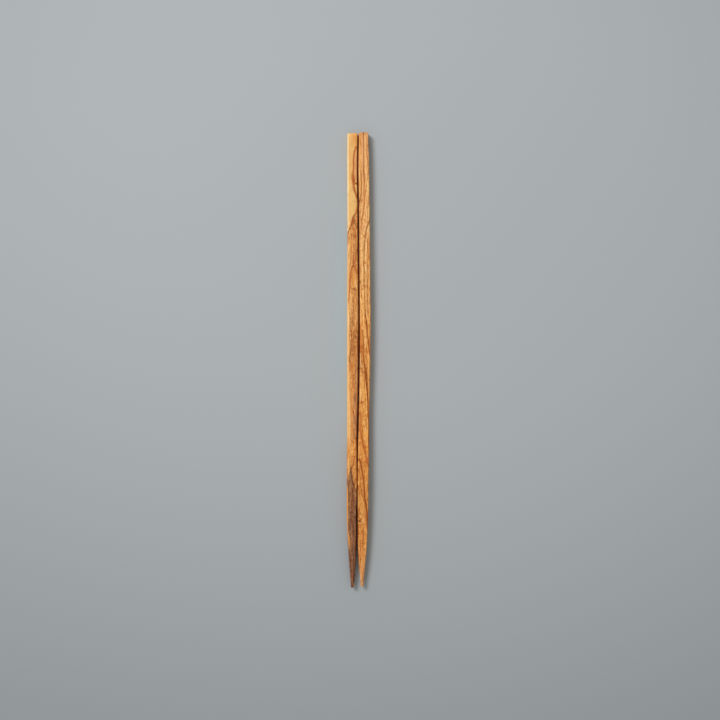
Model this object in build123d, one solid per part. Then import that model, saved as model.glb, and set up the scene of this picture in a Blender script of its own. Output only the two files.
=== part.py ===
from build123d import *
from dataclasses import dataclass, replace
from math import cos, radians, sin
import os

os.makedirs("parts", exist_ok=True)

# A pair of slim, hand-shaped wooden chopsticks lying side by side on a flat surface.
# The heads point to +Y, the eating tips to -Y, and the planed undersides lie on the XY plane.
# Each stick is one piece of wood, squared along its shaft, with eased corners and a head cut
# straight, and it runs out in a taper that turns nearly round at the tip. All sizes are in mm.

# Sizes that the two sticks share
stick_length = 240.0
shaft_width = 6.0
corner_radius = 0.5
planed_depth = 0.15
side_gap = 1.0
taper_length = 38.0
tip_axis_height = 2.9
tip_drift = 0.53

# Sizes of the left stick, whose head lies a little further back
left_head_set_back = 0.4
left_head_easing = 0.65
left_tip_set_back = 0.0
left_tip_width = 1.6
left_tip_easing = 0.2

# Sizes of the right stick, whose tip is finer and ends a little earlier
right_head_set_back = 0.0
right_head_easing = 0.5
right_tip_set_back = 0.35
right_tip_width = 1.35
right_tip_easing = 0.3

# The shaft is a little thinner than it is wide, all along
thickness_share = 0.94

# How round the tip's section is: its corner radius as a share of the tip's width
tip_corner_share = 0.4

# The shaft's stations, as shares of the shaft's length counted from the head, and the line that the
# two sticks share there, as shares of the shaft's width: the pair lies in one gentle double bow
station_shares = (0.0, 0.03, 0.08, 0.20, 0.35, 0.49, 0.61, 0.71, 0.80, 0.90, 1.0)
seam_shares = (-0.031, -0.041, -0.076, -0.023, 0.013, 0.044, 0.023, -0.023, -0.099, -0.115, -0.133)

# Each stick's own width at those stations, as shares of the shaft's width
left_width_shares = (0.871, 0.869, 0.837, 0.855, 0.911, 0.947, 0.921, 0.881, 0.813, 0.893, 0.821)
right_width_shares = (0.806, 0.844, 0.910, 0.895, 0.920, 0.917, 0.898, 0.871, 0.911, 0.964, 0.888)

# How much of the side gap is open between the sticks at those stations: they nearly touch at one place
gap_shares = (0.90, 0.93, 0.95, 1.15, 1.05, 1.13, 1.26, 1.20, 1.20, 0.42, 1.05)

# The taper's stations, as shares of its length, with the share of the shaft's section that is still
# there and the share of the tip's drift towards the other stick
taper_place_shares = (0.0, 0.28, 0.45, 0.63, 0.84, 1.0)
taper_kept_shares = (1.0, 0.90, 0.78, 0.575, 0.24, 0.0)
taper_drift_shares = (0.0, 0.42, 0.63, 0.84, 0.94, 1.0)

# How many even steps the shaft, the taper and the quarter round of each end are lofted in
shaft_steps = 20
taper_steps = 9
easing_steps = 4


@dataclass(frozen=True)
class Stick:
    """One stick of the pair: its side of the seam, its ends, and its width along the shaft."""

    node: str
    side: int
    head_set_back: float
    head_easing: float
    tip_set_back: float
    tip_width: float
    tip_easing: float
    width_shares: tuple


@dataclass(frozen=True)
class Section:
    """One cross section: its place along the stick, its middle, and its rounded rectangle."""

    along: float
    across: float
    height: float
    width: float
    thickness: float
    radius: float

    def outline(self) -> Sketch:
        """The section as a rounded rectangle, standing at its place and facing the head."""
        middle = Vector(self.across, stick_length / 2 - self.along, self.height)
        plane = Plane(origin=middle, x_dir=(-1, 0, 0), z_dir=(0, 1, 0))
        return plane * RectangleRounded(self.width, self.thickness, self.radius)


def share_at(place: float, places: tuple, shares: tuple) -> float:
    """The share at a place, on a smooth line through the stations whose slopes follow their neighbours."""
    ends = len(places) - 1

    def slope(k: int) -> float:
        low, high = max(k - 1, 0), min(k + 1, ends)
        return (shares[high] - shares[low]) / (places[high] - places[low])

    k = max(i for i in range(ends) if places[i] <= place)
    step = places[k + 1] - places[k]
    t = (place - places[k]) / step
    rise = t * t * (3 - 2 * t)
    bend = step * t * (1 - t) * ((1 - t) * slope(k) - t * slope(k + 1))
    return shares[k] + (shares[k + 1] - shares[k]) * rise + bend


def shaft_sections(stick: Stick) -> list:
    """The sections of the squared shaft, from the head to where the taper starts."""
    shaft_length = stick_length - taper_length
    sections = []
    for step in range(shaft_steps + 1):
        place = step / shaft_steps
        width = shaft_width * share_at(place, station_shares, stick.width_shares)
        seam = shaft_width * share_at(place, station_shares, seam_shares)
        gap = side_gap * share_at(place, station_shares, gap_shares)
        top = width * thickness_share
        sections.append(
            Section(
                along=max(shaft_length * place, stick.head_set_back + stick.head_easing),
                across=seam + stick.side * (gap + width) / 2,
                height=(top - planed_depth) / 2,
                width=width,
                thickness=top + planed_depth,
                radius=corner_radius,
            )
        )
    return sections


def taper_sections(stick: Stick, last: Section) -> list:
    """The sections of the taper: the shaft's last one runs out to the raised, nearly round tip."""
    run = taper_length - stick.tip_set_back - stick.tip_easing
    tip_radius = tip_corner_share * stick.tip_width
    sections = []
    for step in range(1, taper_steps + 1):
        place = step / taper_steps
        kept = share_at(place, taper_place_shares, taper_kept_shares)
        drift = share_at(place, taper_place_shares, taper_drift_shares)
        sections.append(
            Section(
                along=last.along + run * place,
                across=last.across - stick.side * tip_drift * drift,
                height=tip_axis_height + (last.height - tip_axis_height) * kept,
                width=stick.tip_width + (last.width - stick.tip_width) * kept,
                thickness=stick.tip_width + (last.thickness - stick.tip_width) * kept,
                radius=tip_radius + (last.radius - tip_radius) * kept,
            )
        )
    return sections


def eased_sections(section: Section, easing: float, side: int) -> list:
    """The sections beyond an end's full one, which round the end over in a quarter circle."""
    sections = []
    for step in range(1, easing_steps + 1):
        angle = radians(90 * step / easing_steps)
        inset = 2 * easing * (1 - cos(angle))
        width = section.width - inset
        sections.append(
            replace(
                section,
                along=section.along + side * easing * sin(angle),
                width=width,
                thickness=section.thickness - inset,
                radius=section.radius * width / section.width,
            )
        )
    return sections


def shape_stick(stick: Stick) -> Part:
    """Lofts the stick from its rounded head to its rounded tip, and planes its underside flat."""
    shaft = shaft_sections(stick)
    taper = taper_sections(stick, shaft[-1])
    head = eased_sections(shaft[0], stick.head_easing, side=-1)
    tip = eased_sections(taper[-1], stick.tip_easing, side=1)
    sections = head[::-1] + shaft + taper + tip
    blank = loft([section.outline() for section in sections], ruled=True)
    return split(blank, bisect_by=Plane.XY, keep=Keep.TOP)


left_stick = Stick(
    node="chopstick_left",
    side=-1,
    head_set_back=left_head_set_back,
    head_easing=left_head_easing,
    tip_set_back=left_tip_set_back,
    tip_width=left_tip_width,
    tip_easing=left_tip_easing,
    width_shares=left_width_shares,
)
right_stick = Stick(
    node="chopstick_right",
    side=1,
    head_set_back=right_head_set_back,
    head_easing=right_head_easing,
    tip_set_back=right_tip_set_back,
    tip_width=right_tip_width,
    tip_easing=right_tip_easing,
    width_shares=right_width_shares,
)

# The pair is made about the seam and then set with the middle of its box over the origin
pair = {stick.node: shape_stick(stick) for stick in (left_stick, right_stick)}
middle = Compound(list(pair.values())).bounding_box().center()
for node, solid in pair.items():
    export_step(solid.moved(Location((-middle.X, -middle.Y, 0))), f"parts/{node}.step")
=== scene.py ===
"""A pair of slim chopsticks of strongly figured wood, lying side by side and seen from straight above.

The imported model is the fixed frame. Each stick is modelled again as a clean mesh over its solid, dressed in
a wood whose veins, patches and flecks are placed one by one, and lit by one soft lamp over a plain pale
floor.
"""

import logging
import math
from dataclasses import dataclass, field
from enum import Enum

import bmesh
import bpy
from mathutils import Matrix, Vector
from mathutils.bvhtree import BVHTree


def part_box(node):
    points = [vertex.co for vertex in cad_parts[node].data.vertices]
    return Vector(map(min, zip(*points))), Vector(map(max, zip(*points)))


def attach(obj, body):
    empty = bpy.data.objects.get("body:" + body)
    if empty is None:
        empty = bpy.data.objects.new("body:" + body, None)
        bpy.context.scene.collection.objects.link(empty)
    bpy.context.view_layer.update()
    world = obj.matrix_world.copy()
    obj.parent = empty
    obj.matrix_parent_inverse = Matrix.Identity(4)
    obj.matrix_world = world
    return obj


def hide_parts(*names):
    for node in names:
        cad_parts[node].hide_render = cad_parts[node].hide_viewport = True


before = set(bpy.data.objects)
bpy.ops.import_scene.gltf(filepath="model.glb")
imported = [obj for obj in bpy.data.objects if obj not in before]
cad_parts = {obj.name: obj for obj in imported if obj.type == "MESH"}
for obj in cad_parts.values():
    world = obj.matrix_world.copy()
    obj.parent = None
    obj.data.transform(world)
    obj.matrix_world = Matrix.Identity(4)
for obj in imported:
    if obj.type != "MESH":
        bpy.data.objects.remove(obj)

log = logging.getLogger("chopsticks")
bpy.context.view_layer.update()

MM = 0.001
SAME_PLACE = 0.0001 * MM

Colour = tuple[float, float, float]
Points = tuple[tuple[float, float], ...]
Operand = "Flow | bpy.types.NodeSocket | Vector | tuple[float, ...] | float"


def linear(colour: Colour) -> tuple[float, float, float, float]:
    """Turns a colour as it looks, 0 to 255, into the linear colour that a shader takes.

    Args:
        colour: Red, green and blue as they look on a screen, from 0 to 255.

    Returns:
        The linear colour, with full alpha.
    """
    shares = (part / 255 for part in colour)
    red, green, blue = (s / 12.92 if s <= 0.04045 else ((s + 0.055) / 1.055) ** 2.4 for s in shares)
    return red, green, blue, 1.0


def share_of(at: Operand, first: float, last: float) -> Operand:
    """How far a number or a Flow is along a range: 0 at its first number and 1 at its last."""
    return (at - first) / (last - first)


# The camera, and how a pixel of the photograph becomes a place on the sticks


@dataclass(frozen=True)
class Viewpoint:
    """The camera over the pair. It also says where a pixel of its picture falls on the sticks' top faces."""

    across: float = 0.721 * MM
    along: float = 0.053 * MM
    height: float = 531.0 * MM
    lens: float = 50.0
    sensor: float = 36.0
    nearest: float = 10 * MM
    picture: int = 720
    top_face: float = 5.15 * MM

    @property
    def centre(self) -> float:
        """The picture's middle, in pixels."""
        return self.picture / 2

    @property
    def pixel(self) -> float:
        """How wide one pixel is on the top faces, in metres."""
        return (self.height - self.top_face) * self.sensor / self.lens / self.picture

    def place_scale(self) -> Vector:
        """What turns metres into pixels across, pixels along and depth below the top faces."""
        return Vector((1, -1, -1)) / self.pixel

    def place_offset(self) -> Vector:
        """What is added after place_scale, so that the pixels count from the picture's corner."""
        return Vector(
            (
                self.centre - self.across / self.pixel,
                self.centre + self.along / self.pixel,
                self.top_face / self.pixel,
            )
        )

    def build(self) -> None:
        """Sets the camera up, looking straight down with the heads of the sticks at the top."""
        bpy.ops.object.camera_add(location=(self.across, self.along, self.height), rotation=(0, 0, 0))
        camera = bpy.context.object
        camera.name = "camera"
        camera.data.lens = self.lens
        camera.data.sensor_width = self.sensor
        camera.data.clip_start = self.nearest
        bpy.context.scene.camera = camera


VIEW = Viewpoint()


# Shader nodes, written as sums


class ShaderBench:
    """One material's nodes, and the one method that makes any of them."""

    def __init__(self, name: str) -> None:
        """Starts an empty material.

        Args:
            name: The material's name.
        """
        self.material = bpy.data.materials.new(name)
        self.material.use_nodes = True
        self.nodes = self.material.node_tree.nodes
        self.links = self.material.node_tree.links
        self.nodes.clear()

    def node(self, kind: str, settings: dict | None = None, sockets: dict | None = None) -> bpy.types.Node:
        """Makes a node, sets it, and then fills its sockets.

        Args:
            kind: The node's type.
            settings: Its settings by name; "stops" are a ramp's stops and "curve" is a float curve's points.
            sockets: What goes into its inputs, by name or number: a plain value, a socket or a Flow.

        Returns:
            The node.
        """
        node = self.nodes.new(kind)
        for name, value in (settings or {}).items():
            if name == "stops":
                self._set_stops(node.color_ramp, value)
            elif name == "curve":
                self._set_curve(node.mapping, value)
            else:
                setattr(node, name, value)
        for name, value in (sockets or {}).items():
            source = value.socket if isinstance(value, Flow) else value
            if isinstance(source, bpy.types.NodeSocket):
                self.links.new(source, node.inputs[name])
            else:
                node.inputs[name].default_value = source
        return node

    @staticmethod
    def _set_stops(ramp: bpy.types.ColorRamp, stops: list) -> None:
        """Gives a ramp its stops.

        Args:
            ramp: The ramp.
            stops: Its stops, each a place from 0 to 1 and a linear colour.
        """
        while len(ramp.elements) < len(stops):
            ramp.elements.new(1.0)
        for element, (place, colour) in zip(ramp.elements, stops):
            element.position = place
            element.color = colour

    @staticmethod
    def _set_curve(mapping: bpy.types.CurveMapping, points: list) -> None:
        """Gives a float curve its points, level beyond both ends.

        Args:
            mapping: The curve's mapping.
            points: The points, each a place from 0 to 1 and a value.
        """
        mapping.use_clip = False
        mapping.extend = "HORIZONTAL"
        curve = mapping.curves[0]
        for _ in range(len(points) - len(curve.points)):
            curve.points.new(0.5, 0.5)
        for point, location in zip(curve.points, points):
            point.location = location
            point.handle_type = "AUTO_CLAMPED"
        mapping.update()

    def curve(self, at: "Flow", points: list) -> "Flow":
        """A value that follows a smooth line through points.

        Args:
            at: Where on the line, from 0 to 1.
            points: The line's points, each a place from 0 to 1 and a value.

        Returns:
            The value.
        """
        node = self.node("ShaderNodeFloatCurve", {"curve": points}, {"Value": at})
        return Flow(self, node.outputs[0])

    def vector(self, operation: str, *operands: Operand) -> bpy.types.NodeSocket:
        """One step of vector arithmetic."""
        node = self.node("ShaderNodeVectorMath", {"operation": operation}, dict(enumerate(operands)))
        return node.outputs["Vector"]

    def length(self, vector: bpy.types.NodeSocket) -> "Flow":
        """How long a vector is."""
        node = self.node("ShaderNodeVectorMath", {"operation": "LENGTH"}, {0: vector})
        return Flow(self, node.outputs["Value"])

    def noise(self, vector: bpy.types.NodeSocket, detail: float = 2.0, roughness: float = 0.5) -> "Flow":
        """Smooth noise of about one unit in size, as a value around 0.5.

        Args:
            vector: Where the noise is read.
            detail: How many finer layers it has.
            roughness: How strong the finer layers are.

        Returns:
            The noise.
        """
        sockets = {"Vector": vector, "Scale": 1.0, "Detail": detail, "Roughness": roughness}
        return Flow(self, self.node("ShaderNodeTexNoise", None, sockets).outputs[0])

    def paint(self, blend: str, amount: Operand, under: Operand, over: Operand) -> bpy.types.NodeSocket:
        """Lays one colour over another.

        Args:
            blend: How the two are blended.
            amount: How much of the blend is used, from 0 to 1.
            under: The colour below.
            over: The colour above.

        Returns:
            The blended colour.
        """
        settings = {"data_type": "RGBA", "blend_type": blend, "clamp_factor": True}
        return self.node("ShaderNodeMix", settings, {0: amount, 6: under, 7: over}).outputs[2]


@dataclass(frozen=True)
class Flow:
    """A number that varies over a surface. Arithmetic on it adds Math nodes."""

    bench: ShaderBench
    socket: bpy.types.NodeSocket

    def _math(self, operation: str, *operands: Operand) -> "Flow":
        """One Math node on the operands, in their order."""
        node = self.bench.node("ShaderNodeMath", {"operation": operation}, dict(enumerate(operands)))
        return Flow(self.bench, node.outputs[0])

    def __add__(self, other: Operand) -> "Flow":
        """This value plus another."""
        return self._math("ADD", self, other)

    def __radd__(self, other: Operand) -> "Flow":
        """Another value plus this one."""
        return self._math("ADD", other, self)

    def __sub__(self, other: Operand) -> "Flow":
        """This value less another."""
        return self._math("SUBTRACT", self, other)

    def __rsub__(self, other: Operand) -> "Flow":
        """Another value less this one."""
        return self._math("SUBTRACT", other, self)

    def __mul__(self, other: Operand) -> "Flow":
        """This value times another."""
        return self._math("MULTIPLY", self, other)

    def __rmul__(self, other: Operand) -> "Flow":
        """Another value times this one."""
        return self._math("MULTIPLY", other, self)

    def __truediv__(self, other: Operand) -> "Flow":
        """This value over another."""
        return self._math("DIVIDE", self, other)

    def __or__(self, other: Operand) -> "Flow":
        """The larger of this value and another."""
        return self._math("MAXIMUM", self, other)

    def __abs__(self) -> "Flow":
        """This value without its sign."""
        return self._math("ABSOLUTE", self)

    def sine(self) -> "Flow":
        """The sine of this value, in radians."""
        return self._math("SINE", self)

    def ease(self, low: float, high: float, start: Operand = 0.0, end: Operand = 1.0) -> "Flow":
        """Turns this value smoothly from one value to another, and keeps it level outside.

        Args:
            low: Where the turn starts.
            high: Where it ends.
            start: The value up to low.
            end: The value from high on.

        Returns:
            The turned value.
        """
        settings = {"interpolation_type": "SMOOTHSTEP"}
        sockets = {0: self, 1: low, 2: high, 3: start, 4: end}
        return Flow(self.bench, self.bench.node("ShaderNodeMapRange", settings, sockets).outputs[0])


# The marks in the wood. Their places are pixels of the photograph, (along, across) from its top left


class Tone(Enum):
    """The colours of the marks as they look in plain light, in the order in which they are painted."""

    SAPWOOD = (236, 186, 116)
    HONEY = (228, 158, 86)
    PEACH = (224, 160, 106)
    PALE = (246, 192, 124)
    ORANGE = (212, 130, 60)
    AMBER = (190, 108, 50)
    TAN = (176, 110, 60)
    MAUVE = (152, 100, 72)
    CREAM = (250, 208, 150)
    ASH = (130, 92, 60)
    RED = (176, 88, 44)
    BROWN = (156, 90, 40)
    RUST = (160, 82, 30)
    HEART = (132, 88, 58)
    DEEP_HEART = (88, 52, 32)
    DARK = (112, 58, 22)
    # A painted glint: white, as a highlight on the wood
    CHALK = (250, 236, 212)


class Runs(Enum):
    """Which way a line of figure runs: along the stick, or across it."""

    ALONG = "along"
    ACROSS = "across"


@dataclass(frozen=True)
class Grain:
    """Where a point of the wood is: pixels across and along, both a little wavy, as the fibres are."""

    bench: ShaderBench
    place: bpy.types.NodeSocket
    across: Flow
    along: Flow


@dataclass(frozen=True)
class Line:
    """A smooth line through given points, which a vein follows or a zone ends at."""

    points: Points
    tone: Tone
    strength: float
    fade_in: float = 0.12
    fade_out: float = 0.12
    runs: Runs = Runs.ALONG

    def measure(self, grain: Grain) -> tuple[Flow, Flow]:
        """Measures a point of the wood against the line.

        Args:
            grain: The point.

        Returns:
            How far the point is past the line, in pixels, and how strong the line is there.
        """
        ahead, aside = grain.along, grain.across
        if self.runs is Runs.ACROSS:
            ahead, aside = aside, ahead
        first, last = self.points[0][0], self.points[-1][0]
        low = min(side for _, side in self.points)
        reach = max(max(side for _, side in self.points) - low, 1.0)
        run = share_of(ahead, first, last)
        line = [(share_of(at, first, last), (side - low) / reach) for at, side in self.points]
        past = aside - low - grain.bench.curve(run, line) * reach
        strengths = [(self.fade_in, self.strength), (1 - self.fade_out, self.strength)]
        if self.fade_in > 0:
            strengths.insert(0, (0.0, 0.0))
        if self.fade_out > 0:
            strengths.append((1.0, 0.0))
        return past, grain.bench.curve(run, strengths)


@dataclass(frozen=True)
class Vein(Line):
    """A coloured vein on its line, which fades out over its own width on each side."""

    left: float = 1.1
    right: float = 1.1

    def mask(self, grain: Grain) -> Flow:
        """How strongly the vein colours a point of the wood.

        Args:
            grain: The point.

        Returns:
            The strength, from 0 to 1.
        """
        past, strength = self.measure(grain)
        spread = past / self.right | past / -self.left
        return spread.ease(0.0, 1.0, strength, 0.0)


@dataclass(frozen=True)
class Zone(Line):
    """All the wood on one side of its line: past it, or short of it."""

    softness: float = 1.0
    past_line: bool = True

    def mask(self, grain: Grain) -> Flow:
        """How strongly the zone colours a point of the wood.

        Args:
            grain: The point.

        Returns:
            The strength, from 0 to 1.
        """
        past, strength = self.measure(grain)
        edge = self.softness / 2 if self.past_line else -self.softness / 2
        return past.ease(-edge, edge, 0.0, strength) if edge > 0 else past.ease(edge, -edge, strength, 0.0)


@dataclass(frozen=True)
class Fleck:
    """An oval mark: a patch, a spot, or a short dash, which may be turned."""

    across: float
    along: float
    half_width: float
    half_length: float
    tone: Tone
    strength: float
    turn: float = 0.0
    core: float = 0.0

    def mask(self, grain: Grain) -> Flow:
        """How strongly the mark colours a point of the wood.

        Args:
            grain: The point.

        Returns:
            The strength, from 0 to 1.
        """
        bench, place = grain.bench, grain.place
        if self.turn:
            centre, angle = (self.across, self.along, 0.0), -math.radians(self.turn)
            sockets = {"Vector": place, "Center": centre, "Angle": angle}
            place = bench.node("ShaderNodeVectorRotate", {"rotation_type": "Z_AXIS"}, sockets).outputs[0]
        scale = (1 / self.half_width, 1 / self.half_length, 0.0)
        offset = (-self.across / self.half_width, -self.along / self.half_length, 0.0)
        inside = bench.vector("MULTIPLY_ADD", place, scale, offset)
        return bench.length(inside).ease(self.core, 1.0, self.strength, 0.0)


@dataclass(frozen=True)
class Ripple(Fleck):
    """Fine waves that cross the stick inside an oval."""

    pitch: float = 3.2
    lean: float = 0.0
    trough: float = -0.3

    def mask(self, grain: Grain) -> Flow:
        """How strongly the waves colour a point of the wood."""
        waves = ((grain.along + grain.across * self.lean) * (math.tau / self.pitch)).sine()
        return super().mask(grain) * waves.ease(self.trough, 1.0)


@dataclass(frozen=True)
class Swirl:
    """An oval in which the growth lines are pushed aside, so that they run round it."""

    across: float
    along: float
    half_width: float
    half_length: float
    push: float

    def shift(self, grain: Grain) -> Flow:
        """How far the growth lines are pushed at a point of the wood, in pixels."""
        oval = Fleck(self.across, self.along, self.half_width, self.half_length, Tone.PALE, self.push)
        return oval.mask(grain)


@dataclass(frozen=True)
class Stretches:
    """The wood's own colour along the stick: a pixel along it, and the colour there."""

    colours: tuple[tuple[float, Colour], ...]

    def paint(self, grain: Grain) -> bpy.types.NodeSocket:
        """The colour at a point of the wood.

        Args:
            grain: The point.

        Returns:
            The colour.
        """
        first, last = self.colours[0][0], self.colours[-1][0]
        stops = [(share_of(at, first, last), linear(colour)) for at, colour in self.colours]
        run = share_of(grain.along, first, last)
        return grain.bench.node("ShaderNodeValToRGB", {"stops": stops}, {0: run}).outputs[0]


@dataclass(frozen=True)
class Streaks:
    """One kind of fine figure, as noise: its size in pixels, its contrast, and where dark turns to pale."""

    width: float
    length: float
    contrast: float
    middle: float = 0.5
    reach: float = 0.17
    detail: float = 2.0
    seed_step: float = 0.0
    darker: Colour = (204, 150, 96)
    lighter: Colour = (92, 78, 44)

    def noise(self, grain: Grain, aside: Flow, seed: float) -> Flow:
        """The noise at a point of the wood, which is long along the stick.

        Args:
            grain: The point.
            aside: Its place across the streaks, in pixels.
            seed: What sets this stick's noise apart.

        Returns:
            The noise.
        """
        sockets = {0: aside / self.width, 1: grain.along / self.length, 2: seed + self.seed_step}
        place = grain.bench.node("ShaderNodeCombineXYZ", None, sockets).outputs[0]
        return grain.bench.noise(place, self.detail)

    def shade(self, bench: ShaderBench, colour: bpy.types.NodeSocket, noise: Flow) -> bpy.types.NodeSocket:
        """Darkens a colour where the noise is high, and pales it where the noise is low.

        Args:
            bench: The material's nodes.
            colour: The colour below.
            noise: The noise.

        Returns:
            The shaded colour.
        """
        dark = noise.ease(self.middle, self.middle + self.reach, 0.0, self.contrast)
        light = noise.ease(self.middle, self.middle - self.reach, 0.0, self.contrast)
        colour = bench.paint("MULTIPLY", dark, colour, linear(self.darker))
        return bench.paint("ADD", light, colour, linear(self.lighter))


@dataclass(frozen=True)
class Texture:
    """A texture over the figure, as noise: its size in pixels, where it starts and is full, and its tint."""

    width: float
    length: float
    start: float
    full: float
    share: float
    tint: Colour
    detail: float = 3.0
    roughness: float = 0.5

    def noise(self, bench: ShaderBench, place: bpy.types.NodeSocket) -> Flow:
        """The noise at a place."""
        size = (self.width, self.length, self.width)
        return bench.noise(bench.vector("DIVIDE", place, size), self.detail, self.roughness)

    def lay(self, bench: ShaderBench, colour: bpy.types.NodeSocket, noise: Flow) -> bpy.types.NodeSocket:
        """Tints a colour where the noise is high."""
        amount = noise.ease(self.start, self.full, 0.0, self.share)
        return bench.paint("MULTIPLY", amount, colour, linear(self.tint))


@dataclass(frozen=True)
class SandedSurface:
    """The bare sanded surface: fibres, pores, mottling, end grain that is darker, and a low sheen."""

    fibres: Texture = Texture(0.22, 9.0, 0.4, 0.75, 0.4, (206, 178, 152), roughness=0.6)
    pores: Texture = Texture(0.16, 2.6, 0.66, 0.78, 0.5, (150, 108, 78), detail=1.0)
    mottle: Texture = Texture(2.4, 7.0, 0.45, 0.75, 0.35, (218, 190, 168))
    end_turn: tuple[float, float] = (0.75, 0.97)
    end_share: float = 0.8
    end_tint: Colour = (190, 160, 138)
    fibre_turn: tuple[float, float] = (0.3, 0.7)
    roughness: tuple[float, float] = (0.5, 0.6)
    end_roughness: float = 0.15
    band_turn: tuple[float, float] = (0.5, 0.7)
    band_polish: float = 0.05
    fibre_relief: float = 0.6
    mottle_relief: float = 0.8
    pore_relief: float = 1.2
    bump_strength: float = 0.35
    bump_depth: float = 0.03 * MM
    sheen: float = 0.12

    def build(
        self, bench: ShaderBench, colour: bpy.types.NodeSocket, bands: Flow, seed: float
    ) -> bpy.types.Material:
        """Lays the textures over the figured wood, and makes the material of it.

        Args:
            bench: The material's nodes.
            colour: The wood's colour with its figure.
            bands: The growth bands.
            seed: What sets this stick's noise apart.

        Returns:
            The material.
        """
        coordinates = bench.node("ShaderNodeTexCoord")
        own = bench.vector("SCALE", coordinates.outputs["Object"])
        own.node.inputs["Scale"].default_value = 1 / VIEW.pixel
        shifted = bench.vector("ADD", own, (seed, seed * 3, seed * 2))
        fibres = self.fibres.noise(bench, shifted)
        pores = self.pores.noise(bench, shifted)
        mottle = self.mottle.noise(bench, shifted)
        pits = pores.ease(self.pores.start, self.pores.full)
        colour = self.fibres.lay(bench, colour, fibres)
        colour = self.mottle.lay(bench, colour, mottle)
        colour = self.pores.lay(bench, colour, pores)
        facing = bench.node("ShaderNodeSeparateXYZ", None, {0: coordinates.outputs["Normal"]}).outputs[1]
        end_grain = abs(Flow(bench, facing)).ease(*self.end_turn)
        colour = bench.paint("MULTIPLY", end_grain * self.end_share, colour, linear(self.end_tint))
        roughness = fibres.ease(*self.fibre_turn, *self.roughness) + end_grain * self.end_roughness
        roughness = roughness - bands.ease(*self.band_turn, 0.0, self.band_polish)
        relief = fibres * self.fibre_relief + mottle * self.mottle_relief - pits * self.pore_relief
        sockets = {"Strength": self.bump_strength, "Distance": self.bump_depth, "Height": relief}
        bump = bench.node("ShaderNodeBump", None, sockets)
        sockets = {"Base Color": colour, "Roughness": roughness, "Normal": bump.outputs[0]}
        shader = bench.node("ShaderNodeBsdfPrincipled", None, sockets)
        shader.inputs["Specular IOR Level"].default_value = self.sheen
        bench.node("ShaderNodeOutputMaterial", None, {"Surface": shader.outputs[0]})
        return bench.material


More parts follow.
